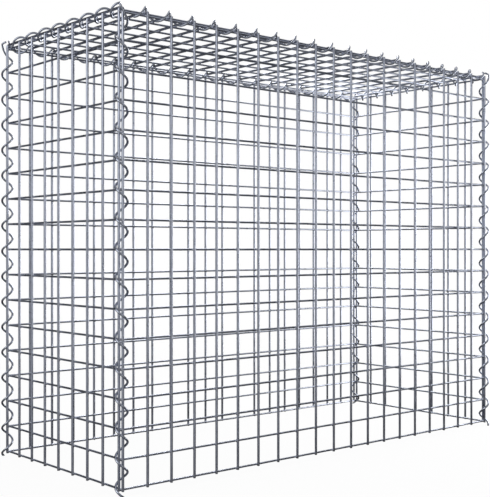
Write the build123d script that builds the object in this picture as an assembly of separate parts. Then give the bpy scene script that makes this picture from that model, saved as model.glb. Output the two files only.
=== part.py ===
from build123d import *
import math
import os

# A welded-mesh gabion basket, standing empty and laced shut along its edges.
# X runs along its length, Y through its depth, and Z is up from the ground.

# Module of the basket, between the axes of its edge wires
length = 1000.0
depth = 400.0
height = 800.0
mesh_opening = 50.0

# Panel wires, drawn as bars of few sides
upright_wire = 4.8
row_wire = 3.8
bar_sides = 8
row_overhang = 0.5
upright_overhang = 3.0

# Spiral binders, and the turn of the front left one where it passes a row, in degrees from +X
spiral_wire = 4.0
spiral_bore = 16.0
foot_drop = 10.0
spiral_rise = 2.0
turn_at_rows = 180

# Share of a turn by which a lid spiral stops short of the next corner
last_turn_share = 0.5

# Fits
panel_gap = 0.25
seat_gap = 0.3
cut_overrun = 20.0

# Spacing of the wires, an equal share of each side near the wanted opening
columns = round(length / mesh_opening)
bays = round(depth / mesh_opening)
courses = round(height / mesh_opening)
column_pitch = length / columns
bay_pitch = depth / bays
course_pitch = height / courses

# Wire sections; a bar's corners stand further out than its flats
upright_radius = upright_wire / 2
row_radius = row_wire / 2
corner_share = 1 / math.cos(math.pi / bar_sides)
bore_radius = spiral_bore / 2
coil_radius = bore_radius + spiral_wire / 2

# Layers of a panel: its rows lie against the inside of its uprights
layer_step = upright_radius + row_radius

# Levels of the walls and of the lid, which lies on the top rows of the side walls
bottom_row = foot_drop
lid_long_level = foot_drop + height
lid_cross_level = lid_long_level + layer_step
top_row = lid_long_level - row_wire

# Wall planes: the walls pass each other at the corners
side_stand_off = row_overhang + upright_radius + panel_gap
front_stand_off = row_overhang + panel_gap + row_radius + layer_step
side_upright_x = length / 2 + side_stand_off
side_row_x = side_upright_x - layer_step
front_upright_y = depth / 2 + front_stand_off
front_row_y = front_upright_y - layer_step

# Axis of a corner spiral, which pulls the side edge wire towards the front edge wire
corner_pull = bore_radius - upright_radius * corner_share - seat_gap
edge_span = math.hypot(side_stand_off, front_stand_off)
corner_x = side_upright_x - side_stand_off * corner_pull / edge_span
corner_y = depth / 2 + front_stand_off * corner_pull / edge_span

# Axes of the lid spirals, drawn up until they bear on the top rows from below
lid_front_y = (depth / 2 + front_row_y) / 2
lid_side_x = (length / 2 + side_row_x) / 2
row_pull = bore_radius - row_radius * corner_share - seat_gap
lid_front_level = top_row + math.sqrt(row_pull**2 - (front_row_y - lid_front_y)**2)
lid_side_level = top_row + math.sqrt(row_pull**2 - (side_row_x - lid_side_x)**2)

# Ends of the uprights and levels of the rows
foot_level = bottom_row - upright_overhang
head_level = lid_long_level + upright_overhang
row_levels = [bottom_row + course_pitch * k for k in range(courses)] + [top_row]

along = Vector(1, 0, 0)
across = Vector(0, 1, 0)
up = Vector(0, 0, 1)


def bar(start, end, radius, facing):
    """A straight wire with a flat turned to each side of its panel."""
    line = Line(start, end)
    profile = RegularPolygon(radius, bar_sides, major_radius=False, rotation=180 / bar_sides)
    return extrude(Plane(start, x_dir=facing, z_dir=line % 0) * profile, line.length)


def panel(uprights, rows, facing):
    """Welded mesh, fused where its wires cross."""
    bars = [bar(start, end, upright_radius, facing) for start, end in uprights]
    bars += [bar(start, end, row_radius, facing) for start, end in rows]
    return bars[0].fuse(*bars[1:]).clean()


def spread(span, count):
    """Places of the wires along a side, centred on the axis."""
    return [span * k / count - span / 2 for k in range(count + 1)]


def front_wall(side):
    """Front (side -1) or back (side 1) wall."""
    upright_y = side * front_upright_y
    row_y = side * front_row_y
    reach = length / 2 + row_overhang
    uprights = [((x, upright_y, foot_level), (x, upright_y, head_level)) for x in spread(length, columns)]
    rows = [((-reach, row_y, z), (reach, row_y, z)) for z in row_levels]
    return panel(uprights, rows, across)


def side_wall(side):
    """Left (side -1) or right (side 1) wall."""
    upright_x = side * side_upright_x
    row_x = side * side_row_x
    reach = depth / 2 + row_overhang
    uprights = [((upright_x, y, foot_level), (upright_x, y, head_level)) for y in spread(depth, bays)]
    rows = [((row_x, -reach, z), (row_x, reach, z)) for z in row_levels]
    return panel(uprights, rows, along)


def lid():
    """Lid of cross wires on long wires, made like a wall with its uprights on top."""
    long_reach = length / 2 + row_overhang
    cross_reach = depth / 2 + row_overhang
    crosses = [((x, -cross_reach, lid_cross_level), (x, cross_reach, lid_cross_level))
               for x in spread(length, columns)]
    longs = [((-long_reach, y, lid_long_level), (long_reach, y, lid_long_level)) for y in spread(depth, bays)]
    return panel(crosses, longs, up)


def coil(run, pitch, turn):
    """Left-handed spiral along local Z from zero, its wire starting turn degrees round from local X."""
    path = Helix(pitch, run, coil_radius, lefthand=True)
    section = Plane(path @ 0, z_dir=path % 0) * Circle(spiral_wire / 2)
    return Rot(0, 0, turn) * sweep(section, path, is_frenet=True)


def corner_spiral():
    """Spiral up the front left corner, cut level at the ground."""
    start = -cut_overrun
    run = lid_long_level + spiral_rise - start
    turn = turn_at_rows + 360 * (bottom_row - start) / course_pitch
    whole = Pos(-corner_x, -corner_y, start) * coil(run, course_pitch, turn)
    return split(whole, Plane.XY, keep=Keep.TOP)


def lid_spiral(corner, direction, span, pitch):
    """Spiral along an edge of the lid, starting on top of a corner and on top at each wire it passes."""
    return Plane(corner, x_dir=up, z_dir=direction) * coil(span - last_turn_share * pitch, pitch, 0)


# The corner spirals are mirror images of their neighbours
front_left_spiral = corner_spiral()
front_right_spiral = mirror(front_left_spiral, about=Plane.YZ)
back_left_spiral = mirror(front_left_spiral, about=Plane.XZ)
back_right_spiral = mirror(front_right_spiral, about=Plane.XZ)

# Where the lid spirals start, each at its own corner
front_right_corner = Vector(length / 2, -lid_front_y, lid_front_level)
back_left_corner = Vector(-length / 2, lid_front_y, lid_front_level)
front_left_corner = Vector(-lid_side_x, -depth / 2, lid_side_level)
back_right_corner = Vector(lid_side_x, depth / 2, lid_side_level)
nodes = {
    "front_panel": front_wall(-1),
    "back_panel": front_wall(1),
    "left_panel": side_wall(-1),
    "right_panel": side_wall(1),
    "lid_panel": lid(),
    "spiral_front_left": front_left_spiral,
    "spiral_front_right": front_right_spiral,
    "spiral_back_right": back_right_spiral,
    "spiral_back_left": back_left_spiral,
    "spiral_lid_front": lid_spiral(front_right_corner, -along, length, column_pitch),
    "spiral_lid_back": lid_spiral(back_left_corner, along, length, column_pitch),
    "spiral_lid_left": lid_spiral(front_left_corner, across, depth, bay_pitch),
    "spiral_lid_right": lid_spiral(back_right_corner, -across, depth, bay_pitch),
}

os.makedirs("parts", exist_ok=True)
for name, shape in nodes.items():
    export_step(shape, f"parts/{name}.step")
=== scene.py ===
import math
import random

import bpy
import numpy as np
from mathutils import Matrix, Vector

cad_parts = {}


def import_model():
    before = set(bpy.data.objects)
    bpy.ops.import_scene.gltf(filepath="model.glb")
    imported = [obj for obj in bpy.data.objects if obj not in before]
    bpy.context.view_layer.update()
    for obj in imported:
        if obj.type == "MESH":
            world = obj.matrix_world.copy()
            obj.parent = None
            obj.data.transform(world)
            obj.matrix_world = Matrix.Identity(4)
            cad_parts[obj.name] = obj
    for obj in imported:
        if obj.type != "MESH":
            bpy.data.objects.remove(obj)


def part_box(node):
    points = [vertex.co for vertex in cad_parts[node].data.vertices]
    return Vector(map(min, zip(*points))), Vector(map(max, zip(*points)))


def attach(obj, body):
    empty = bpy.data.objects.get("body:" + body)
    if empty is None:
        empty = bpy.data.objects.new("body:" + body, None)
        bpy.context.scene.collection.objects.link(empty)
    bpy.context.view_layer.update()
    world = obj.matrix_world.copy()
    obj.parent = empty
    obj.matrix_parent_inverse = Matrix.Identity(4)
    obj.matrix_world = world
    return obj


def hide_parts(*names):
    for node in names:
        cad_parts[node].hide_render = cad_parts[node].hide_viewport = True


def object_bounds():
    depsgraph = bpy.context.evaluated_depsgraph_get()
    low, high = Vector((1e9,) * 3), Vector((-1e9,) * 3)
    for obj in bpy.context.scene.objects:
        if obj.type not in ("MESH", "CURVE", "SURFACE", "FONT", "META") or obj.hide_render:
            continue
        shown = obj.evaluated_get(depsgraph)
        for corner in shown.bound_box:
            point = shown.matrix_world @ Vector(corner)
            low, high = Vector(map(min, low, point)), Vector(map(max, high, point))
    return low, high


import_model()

cad_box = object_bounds()
middle = (cad_box[0] + cad_box[1]) / 2

# An empty gabion basket: welded-mesh panels and the spirals that lace them together, wire by wire.
# Sizes are in metres and angles in degrees. X runs along the basket, Y from front to back, and Z is up.
x_axis = 0
y_axis = 1
z_axis = 2
left_handed = -1
right_handed = 1

# Wires, and how far the welds sink the rows of a panel into its uprights
mesh_pitch = 0.050
upright_wire = 0.0048
row_wire = 0.0038
spiral_wire = 0.0040
wire_sides = 12
end_round = 0.0006
set_down = 0.0004

# The top row of a wall lies under the lid, a wire lower than the mesh pitch would put it
top_row_drop = row_wire

# Small unevenness of real wire
seed = 7
sway = 0.00010
thickness_share = 0.01

# Weld nuggets at the crossings, the shares by which they differ, and how far a weld shows along a wire
nugget_reach = 0.0031
nugget_reach_shares = (0.85, 1.1)
nugget_height = 0.0016
nugget_height_shares = (0.9, 1.1)
nugget_edge_share = 0.10
nugget_rings = 5
nugget_sides = 10
weld_reach = 0.0055

# Spirals: radius to the middle of the wire, points to a turn, and the shares of a turn by which
# the lid spirals stop short of the next corner and the turns of the corner spirals stop below the lid
coil_radius = 0.0100
coil_steps = 30
lid_stop_share = 0.5
corner_stop_share = 0.125

# Level feet of the corner spirals: the first point of the path past the slant of the cut
first_past_cut = 3

# Upper ends of the corner spirals, drawn up over a share of a turn and bent over towards the lid's spirals
drawn_share = 0.25
end_lift = 0.0115
end_bend = 0.0040
end_gap = 0.0045
bend_steps = 8

# Finish of the two sorts of wire
panel_tone = (0.44, 0.47, 0.56)
panel_roughness = 0.28
spiral_tone = (0.37, 0.395, 0.465)
spiral_roughness = 0.16

# Zinc coating: the shares of the tone that its patches and crystals range over, between two levels of
# each pattern, the tones of welds (a paler, warmer weld tint, partly a painted highlight at the crossings)
# and cut ends, the spread of its roughness, and a fine grain
patch_scale = 55
patch_detail = 5
patch_shares = (0.82, 1.12)
patch_range = (0.3, 0.7)
crystal_scale = 420
crystal_shares = (0.86, 1.16)
crystal_range = (0.1, 0.9)
crystal_part = 0.5
weld_tint_and_highlight_shares = (1.04, 1.02, 0.98)
cut_shares = (0.75, 0.70, 0.66)
smoother_by = 0.07
rougher_by = 0.10
grain_scale = 1500
grain_detail = 3
grain_strength = 0.12
grain_depth = 0.0002

# Studio surround as the metal mirrors it: soft panels, each with its aim, the angle from the aim within
# which it is full, the angle beyond which it is dim, and its level
left_panel_light = (Vector((-0.998, -0.07, 0.10)), 20, 46, 1.0)
front_panel_light = (Vector((-0.10, -1.0, 0.10)), 14, 36, 1.0)
ceiling_light = (Vector((0.2, 0, 1)), 20, 60, 0.85)
backdrop_light = (Vector((0.65, 0.76, 0.05)), 10, 32, 1.0)
surround_dim = 0.01
white = (1, 1, 1, 1)

# Lamps: place, aim, size and power in watts
key_lamp = (Vector((-3.95, -0.15, 2.4)), middle, 3.0, 50)
fill_lamp = (Vector((1.3, -0.20, 0.45)), Vector((0.4, 0.15, 0.45)), 0.8, 12)
back_lamp = (Vector((0.5, 0.75, 1.2)), Vector((0.5, 0, 0.45)), 0.5, 7)

# Floor, white further out and faintly shaded under the object; to the metal it glows with painted light,
# brighter on one side
floor_size = 60
floor_tone = (0.95, 0.95, 0.95, 1)
floor_roughness = 0.9
floor_shade_share = 0.06
shade_within = 0.9
shade_beyond = 2.2
floor_painted_light_side = Vector((-0.85, -0.5, 0))
floor_painted_light_from = 0.0
floor_painted_light_to = 1.2
floor_painted_light_low = 0.06
floor_painted_light_high = 0.40

# Camera of the photograph: its focal length and frame height in pixels, and its sensor in millimetres
focal_length = 975.757
frame_height = 497
sensor_height = 36
camera_place = (-1.398802, -1.572319, 0.411739)
camera_tilt = 90
camera_turn = -40.492

random.seed(seed)
spread_draw = np.random.default_rng(seed)


def evenly(low, high):
    """Places of wires a mesh pitch apart, centred between two edges."""
    cells = math.floor((high - low) / mesh_pitch)
    centre = (low + high) / 2
    return [centre + mesh_pitch * (k - cells / 2) for k in range(cells + 1)]


class Mesh:
    """Collects points and faces, with each point's nearness to a weld and whether it is on a cut end."""

    def __init__(self):
        self.points = []
        self.faces = []
        self.weld = []
        self.cut = []

    def add(self, points, weld=0.0, cut=0.0):
        """Adds points and gives the number of the first."""
        first = len(self.points)
        self.points += [tuple(p) for p in points]
        self.weld += list(np.broadcast_to(weld, len(points)))
        self.cut += list(np.broadcast_to(cut, len(points)))
        return first

    def bridge(self, lower, upper, sides):
        """Faces between two rings."""
        for k in range(sides):
            after = (k + 1) % sides
            self.faces.append((lower + k, lower + after, upper + after, upper + k))

    def fan(self, ring, tip, sides, turned):
        """Faces between a ring and a tip, turned over where the ring is the first."""
        for k in range(sides):
            after = (k + 1) % sides
            self.faces.append((ring + k, tip, ring + after) if turned else (ring + k, ring + after, tip))

    def make(self, name, material, node):
        """The piece that stands for a node."""
        mesh = bpy.data.meshes.new(name)
        mesh.from_pydata(self.points, [], self.faces)
        mesh.update()
        for label, values in (("weld", self.weld), ("cut", self.cut)):
            mesh.attributes.new(label, "FLOAT", "POINT").data.foreach_set("value", values)
        mesh.polygons.foreach_set("use_smooth", [True] * len(mesh.polygons))
        mesh.materials.append(material)
        piece = bpy.data.objects.new(name, mesh)
        bpy.context.collection.objects.link(piece)
        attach(piece, "root")
        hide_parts(node)


def frames(path):
    """Tangents of a path, and two directions square to it that turn as little as they can."""
    tangents = np.gradient(path, axis=0)
    tangents /= np.linalg.norm(tangents, axis=1)[:, None]
    start = np.eye(3)[np.argmin(np.abs(tangents[0]))]
    sides = [np.cross(tangents[0], start)]
    for tangent in tangents[1:]:
        side = sides[-1] - tangent * np.dot(sides[-1], tangent)
        sides.append(side / np.linalg.norm(side))
    sides = np.array(sides)
    sides[0] /= np.linalg.norm(sides[0])
    return tangents, sides, np.cross(tangents, sides)


def tube(mesh, path, radius, weld, level_start=False):
    """A round wire along a path, its ends cut square, or level at the start, and slightly rounded."""
    tangents, across, over = frames(path)
    angles = 2 * np.pi * np.arange(wire_sides) / wire_sides
    radii = radius * (1 + thickness_share * spread_draw.uniform(-1, 1, len(path)))
    last = len(path) - 1

    def ring(k, size, shift, cut, level=False):
        spokes = np.cos(angles)[:, None] * across[k] + np.sin(angles)[:, None] * over[k]
        points = path[k] + tangents[k] * shift + spokes * size
        if level:
            points -= np.outer(spokes[:, z_axis] * size / tangents[k][z_axis], tangents[k])
        return mesh.add(points, weld[k], cut)

    rims = [ring(0, radii[0] - end_round, 0, 1, level_start)]
    rims.append(ring(0, radii[0], end_round, 0, level_start))
    rims += [ring(k, radii[k], 0, 0) for k in range(first_past_cut if level_start else 1, last)]
    rims.append(ring(last, radii[last], -end_round, 0))
    rims.append(ring(last, radii[last] - end_round, 0, 1))
    for lower, upper in zip(rims, rims[1:]):
        mesh.bridge(lower, upper, wire_sides)
    mesh.fan(rims[0], mesh.add([path[0]], weld[0], 1), wire_sides, True)
    mesh.fan(rims[-1], mesh.add([path[last]], weld[last], 1), wire_sides, False)


def nugget(mesh, centre, through):
    """A squeezed-out weld between two crossing wires, flattened along the way through the panel."""
    reach = nugget_reach * random.uniform(*nugget_reach_shares)
    height = nugget_height * random.uniform(*nugget_height_shares)
    axis = np.eye(3)[through]
    first_side = np.roll(axis, 1)
    second_side = np.roll(axis, 2)
    angles = 2 * np.pi * np.arange(nugget_sides) / nugget_sides
    spokes = np.cos(angles)[:, None] * first_side + np.sin(angles)[:, None] * second_side
    spokes *= 1 + nugget_edge_share * spread_draw.uniform(-1, 1, nugget_sides)[:, None]
    tilts = np.pi * (np.arange(1, nugget_rings + 1) / (nugget_rings + 1) - 1 / 2)
    rims = [mesh.add(centre + axis * height * np.sin(t) + spokes * reach * np.cos(t), 1) for t in tilts]
    for lower, upper in zip(rims, rims[1:]):
        mesh.bridge(lower, upper, nugget_sides)
    mesh.fan(rims[0], mesh.add([centre - axis * height], 1), nugget_sides, True)
    mesh.fan(rims[-1], mesh.add([centre + axis * height], 1), nugget_sides, False)


def wire_points(stations, low, high):
    """Where a wire is given points: its ends, each crossing, beside each crossing and between crossings."""
    places = {low, high}
    for place in stations:
        places |= {place - weld_reach, place, place + weld_reach, place + mesh_pitch / 2}
    return sorted(p for p in places if low <= p <= high)


def weld_nearness(places, stations):
    """1 at a crossing, falling to 0 as far along the wire as a weld shows."""
    nearest = np.abs(np.subtract.outer(places, stations)).min(axis=1)
    return np.clip(1 - nearest / weld_reach, 0, 1)


def panel(node, row_axis, upright_axis, upright_side, drop, material):
    """Welded mesh for a panel node, its uprights on the low (-1) or high (1) side of its rows."""
    low, high = (np.array(corner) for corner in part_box(node))
    through = x_axis + y_axis + z_axis - row_axis - upright_axis
    uprights = evenly(low[row_axis], high[row_axis])
    rows = evenly(low[upright_axis], high[upright_axis])
    rows[-1] -= drop
    outer, inner = (high, low) if upright_side > 0 else (low, high)
    upright_level = outer[through] - upright_side * upright_wire / 2
    row_level = inner[through] + upright_side * (row_wire / 2 + set_down)
    mesh = Mesh()

    def straight(axis, cross_axis, place, level, wire, stations):
        places = wire_points(stations, low[axis], high[axis])
        path = np.zeros((len(places), 3))
        path[:, axis] = places
        path[:, cross_axis] = place + sway * spread_draw.uniform(-1, 1, len(places))
        path[:, through] = level
        tube(mesh, path, wire / 2, weld_nearness(places, stations))

    for place in uprights:
        straight(upright_axis, row_axis, place, upright_level, upright_wire, rows)
    for place in rows:
        straight(row_axis, upright_axis, place, row_level, row_wire, uprights)
    for upright in uprights:
        for row in rows:
            centre = np.zeros(3)
            centre[row_axis] = upright
            centre[upright_axis] = row
            centre[through] = upright_level - upright_side * (upright_wire - set_down) / 2
            nugget(mesh, centre, through)
    mesh.make(node + "_mesh", material, node)


def coil(origin, axis, run, turn, hand):
    """Path of a spiral that starts at a turn from X round an upright axis, or from Z round a level one."""
    first = np.eye(3)[x_axis if axis[z_axis] else z_axis]
    second = np.cross(axis, first)
    along = np.linspace(0, run, round(coil_steps * run / mesh_pitch) + 1)
    angle = np.radians(turn) + hand * 2 * np.pi * along / mesh_pitch
    round_it = np.cos(angle)[:, None] * first + np.sin(angle)[:, None] * second
    return np.array(origin) + along[:, None] * axis + coil_radius * round_it


def bent_over(path, target):
    """A corner spiral's path with its upper end drawn up and bent over towards a point."""
    drawn = np.clip((path[:, z_axis] - path[-1, z_axis]) / (drawn_share * mesh_pitch) + 1, 0, 1)
    path[:, z_axis] += end_lift * drawn**2
    leaving = path[-1] - path[-2]
    peak = path[-1] + end_bend * leaving / np.linalg.norm(leaving)
    way = target - peak
    end = target - end_gap * way / np.linalg.norm(way)
    t = np.linspace(0, 1, bend_steps + 1)[1:, None]
    return np.vstack((path, (1 - t)**2 * path[-1] + 2 * t * (1 - t) * peak + t**2 * end))


def spiral(node, path, material, level_start=False):
    """Wire along a path that stands for a spiral node."""
    mesh = Mesh()
    tube(mesh, path, spiral_wire / 2, np.zeros(len(path)), level_start)
    mesh.make(node + "_wire", material, node)


def galvanised(name, tone, roughness):
    """Zinc-coated wire: a faint spangle, dull patches, slightly paler welds (a weld tint that is partly a
    painted highlight) and bare cut ends.
    """
    material = bpy.data.materials.new(name)
    material.use_nodes = True
    nodes = material.node_tree.nodes
    links = material.node_tree.links
    shader = nodes["Principled BSDF"]
    shader.inputs["Metallic"].default_value = 1.0
    place = nodes.new("ShaderNodeTexCoord").outputs["Object"]
    tone = np.array(tone)

    def texture(kind, scale):
        pattern = nodes.new(kind)
        pattern.inputs["Scale"].default_value = scale
        links.new(place, pattern.inputs["Vector"])
        return pattern

    def ramp(source, shares, span):
        colours = nodes.new("ShaderNodeValToRGB")
        for stop, share, position in zip(colours.color_ramp.elements, shares, span):
            stop.position = position
            stop.color = (*(tone * share), 1)
        links.new(source, colours.inputs["Fac"])
        return colours.outputs["Color"]

    def mix_with(first):
        mix = nodes.new("ShaderNodeMix")
        mix.data_type = "RGBA"
        links.new(first, mix.inputs["A"])
        return mix

    def where(label, first, shares):
        node = nodes.new("ShaderNodeAttribute")
        node.attribute_name = label
        mix = mix_with(first)
        links.new(node.outputs["Fac"], mix.inputs["Factor"])
        mix.inputs["B"].default_value = (*(tone * shares), 1)
        return mix.outputs["Result"]

    patches = texture("ShaderNodeTexNoise", patch_scale)
    patches.inputs["Detail"].default_value = patch_detail
    crystals = texture("ShaderNodeTexVoronoi", crystal_scale)
    zinc = mix_with(ramp(patches.outputs["Fac"], patch_shares, patch_range))
    zinc.inputs["Factor"].default_value = crystal_part
    links.new(ramp(crystals.outputs["Color"], crystal_shares, crystal_range), zinc.inputs["B"])
    # Near each weld the tone turns slightly paler and warmer: partly a real weld tint, partly a painted
    # highlight at the crossings
    weld_tint_and_highlight = where("weld", zinc.outputs["Result"], weld_tint_and_highlight_shares)
    links.new(where("cut", weld_tint_and_highlight, cut_shares), shader.inputs["Base Color"])

    rough = nodes.new("ShaderNodeMapRange")
    rough.inputs["To Min"].default_value = roughness - smoother_by
    rough.inputs["To Max"].default_value = roughness + rougher_by
    links.new(patches.outputs["Fac"], rough.inputs["Value"])
    links.new(rough.outputs["Result"], shader.inputs["Roughness"])

    grain = texture("ShaderNodeTexNoise", grain_scale)
    grain.inputs["Detail"].default_value = grain_detail
    bump = nodes.new("ShaderNodeBump")
    bump.inputs["Strength"].default_value = grain_strength
    bump.inputs["Distance"].default_value = grain_depth
    links.new(grain.outputs["Fac"], bump.inputs["Height"])
    links.new(bump.outputs["Normal"], shader.inputs["Normal"])
    return material


def combined(tree, operation, first, second):
    """Two values put together by a Math node."""
    node = tree.nodes.new("ShaderNodeMath")
    node.operation = operation
    tree.links.new(first, node.inputs[0])
    tree.links.new(second, node.inputs[1])
    return node.outputs[0]


def any_ray(tree, *kinds):
    """1 where the ray is one of these kinds."""
    light_path = tree.nodes.new("ShaderNodeLightPath")
    socket = light_path.outputs[kinds[0]]
    for kind in kinds[1:]:
        socket = combined(tree, "MAXIMUM", socket, light_path.outputs[kind])
    return socket


def share_along(tree, source, direction):
    """How far a vector goes in a direction."""
    share = tree.nodes.new("ShaderNodeVectorMath")
    share.operation = "DOT_PRODUCT"
    share.inputs[1].default_value = direction.normalized()
    tree.links.new(source, share.inputs[0])
    return share.outputs["Value"]


def smooth_range(tree, source, low, high, at_low, at_high):
    """A value that eases from one level to another as its source goes from low to high."""
    ease = tree.nodes.new("ShaderNodeMapRange")
    ease.interpolation_type = "SMOOTHSTEP"
    ease.inputs["From Min"].default_value = low
    ease.inputs["From Max"].default_value = high
    ease.inputs["To Min"].default_value = at_low
    ease.inputs["To Max"].default_value = at_high
    tree.links.new(source, ease.inputs["Value"])
    return ease.outputs["Result"]


def floor():
    """Pale floor, which shows white but for the object's shadow, and to the metal glows dimmer with painted
    light, brighter on one side.
    """
    bpy.ops.mesh.primitive_plane_add(size=floor_size, location=(middle.x, middle.y, 0))
    plane = bpy.context.object
    plane.name = "floor"
    material = bpy.data.materials.new("pale_floor")
    material.use_nodes = True
    tree = material.node_tree
    matt = tree.nodes["Principled BSDF"]
    matt.inputs["Base Color"].default_value = floor_tone
    matt.inputs["Roughness"].default_value = floor_roughness
    place = tree.nodes.new("ShaderNodeTexCoord").outputs["Object"]
    seen = any_ray(tree, "Is Camera Ray", "Is Transmission Ray")

    glow = tree.nodes.new("ShaderNodeEmission")
    # Painted light: to glossy rays the floor glows, from a low level up to a higher one towards one side,
    # as if lit there
    forward = share_along(tree, place, floor_painted_light_side)
    painted_light = smooth_range(tree, forward, floor_painted_light_from, floor_painted_light_to, floor_painted_light_low, floor_painted_light_high)
    tree.links.new(combined(tree, "MAXIMUM", seen, painted_light), glow.inputs["Strength"])

    reach = tree.nodes.new("ShaderNodeVectorMath")
    reach.operation = "LENGTH"
    tree.links.new(place, reach.inputs[0])
    whitest = 1
    shaded = whitest - floor_shade_share
    unshaded = smooth_range(tree, reach.outputs["Value"], shade_within, shade_beyond, shaded, whitest)
    shown = combined(tree, "MULTIPLY", seen, unshaded)
    mix = tree.nodes.new("ShaderNodeMixShader")
    tree.links.new(combined(tree, "MAXIMUM", shown, any_ray(tree, "Is Glossy Ray")), mix.inputs["Fac"])
    tree.links.new(matt.outputs["BSDF"], mix.inputs[1])
    tree.links.new(glow.outputs["Emission"], mix.inputs[2])
    tree.links.new(mix.outputs["Shader"], tree.nodes["Material Output"].inputs["Surface"])
    plane.data.materials.append(material)


def lobe(tree, direction, aim, within, beyond, level):
    """Brightness of the surround about one of its soft panels."""
    far = math.cos(math.radians(beyond))
    near = math.cos(math.radians(within))
    return smooth_range(tree, share_along(tree, direction, aim), far, near, surround_dim, level)


def world():
    """A white background, and the studio's soft panels as they light the object and show in its metal."""
    surround = bpy.data.worlds.new("studio")
    bpy.context.scene.world = surround
    surround.use_nodes = True
    tree = surround.node_tree
    background = tree.nodes["Background"]
    background.inputs["Color"].default_value = white
    direction = tree.nodes.new("ShaderNodeTexCoord").outputs["Generated"]
    strength = any_ray(tree, "Is Camera Ray", "Is Transmission Ray")
    for soft_panel in (left_panel_light, front_panel_light, ceiling_light, backdrop_light):
        strength = combined(tree, "MAXIMUM", strength, lobe(tree, direction, *soft_panel))
    tree.links.new(strength, background.inputs["Strength"])


def lamp(name, place, aim, size, power):
    """A soft square lamp that the camera doesn't see."""
    data = bpy.data.lights.new(name, "AREA")
    data.size = size
    data.energy = power
    light = bpy.data.objects.new(name, data)
    light.visible_camera = False
    light.location = place
    light.rotation_euler = (aim - place).to_track_quat("-Z", "Y").to_euler()
    bpy.context.collection.objects.link(light)


def camera():
    """The photograph's view."""
    data = bpy.data.cameras.new("camera")
    data.sensor_fit = "VERTICAL"
    data.sensor_height = sensor_height
    data.lens = focal_length * sensor_height / frame_height
    view = bpy.data.objects.new("camera", data)
    view.location = camera_place
    view.rotation_euler = (math.radians(camera_tilt), 0, math.radians(camera_turn))
    bpy.context.collection.objects.link(view)
    bpy.context.scene.camera = view


panel_finish = galvanised("galvanised_panel", panel_tone, panel_roughness)
spiral_finish = galvanised("galvanised_spiral", spiral_tone, spiral_roughness)

panel("front_panel", x_axis, z_axis, -1, top_row_drop, panel_finish)
panel("back_panel", x_axis, z_axis, 1, top_row_drop, panel_finish)
panel("left_panel", y_axis, z_axis, -1, top_row_drop, panel_finish)
panel("right_panel", y_axis, z_axis, 1, top_row_drop, panel_finish)
panel("lid_panel", x_axis, y_axis, 1, 0, panel_finish)

# Spirals of the lid, each from its own corner along the wires that it passes
front_low, front_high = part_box("front_panel")
left_low, left_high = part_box("left_panel")
columns = evenly(front_low.x, front_high.x)
bays = evenly(left_low.y, left_high.y)
levels = evenly(front_low.z, front_high.z)
lid_starts = {}
for edge, corner, axis, places in (
        ("front", "front_right", x_axis, columns[::-1]), ("back", "back_left", x_axis, columns),
        ("left", "front_left", y_axis, bays), ("right", "back_right", y_axis, bays[::-1])):
    low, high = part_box("spiral_lid_" + edge)
    origin = (low + high) / 2
    origin[axis] = places[0]
    heading = np.zeros(3)
    heading[axis] = np.sign(places[-1] - places[0])
    run = abs(places[-1] - places[0]) - lid_stop_share * mesh_pitch
    path = coil(origin, heading, run, 0, left_handed)
    lid_starts[corner] = path[0]
    spiral("spiral_lid_" + edge, path, spiral_finish)

# Spirals of the corners, mirror images of their neighbours, each turned outward along X at every row
for corner, outward, hand in (
        ("front_left", 180, left_handed), ("front_right", 0, right_handed),
        ("back_right", 0, left_handed), ("back_left", 180, right_handed)):
    low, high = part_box("spiral_" + corner)
    foot = ((low + high) / 2).xy.to_3d()
    turn = outward - hand * 360 * levels[0] / mesh_pitch
    path = coil(foot, np.eye(3)[z_axis], levels[-1] - corner_stop_share * mesh_pitch, turn, hand)
    spiral("spiral_" + corner, bent_over(path, lid_starts[corner]), spiral_finish, level_start=True)

floor()
world()
lamp("key", *key_lamp)
lamp("fill", *fill_lamp)
lamp("back", *back_lamp)
camera()
bpy.context.scene.view_settings.view_transform = "Standard"
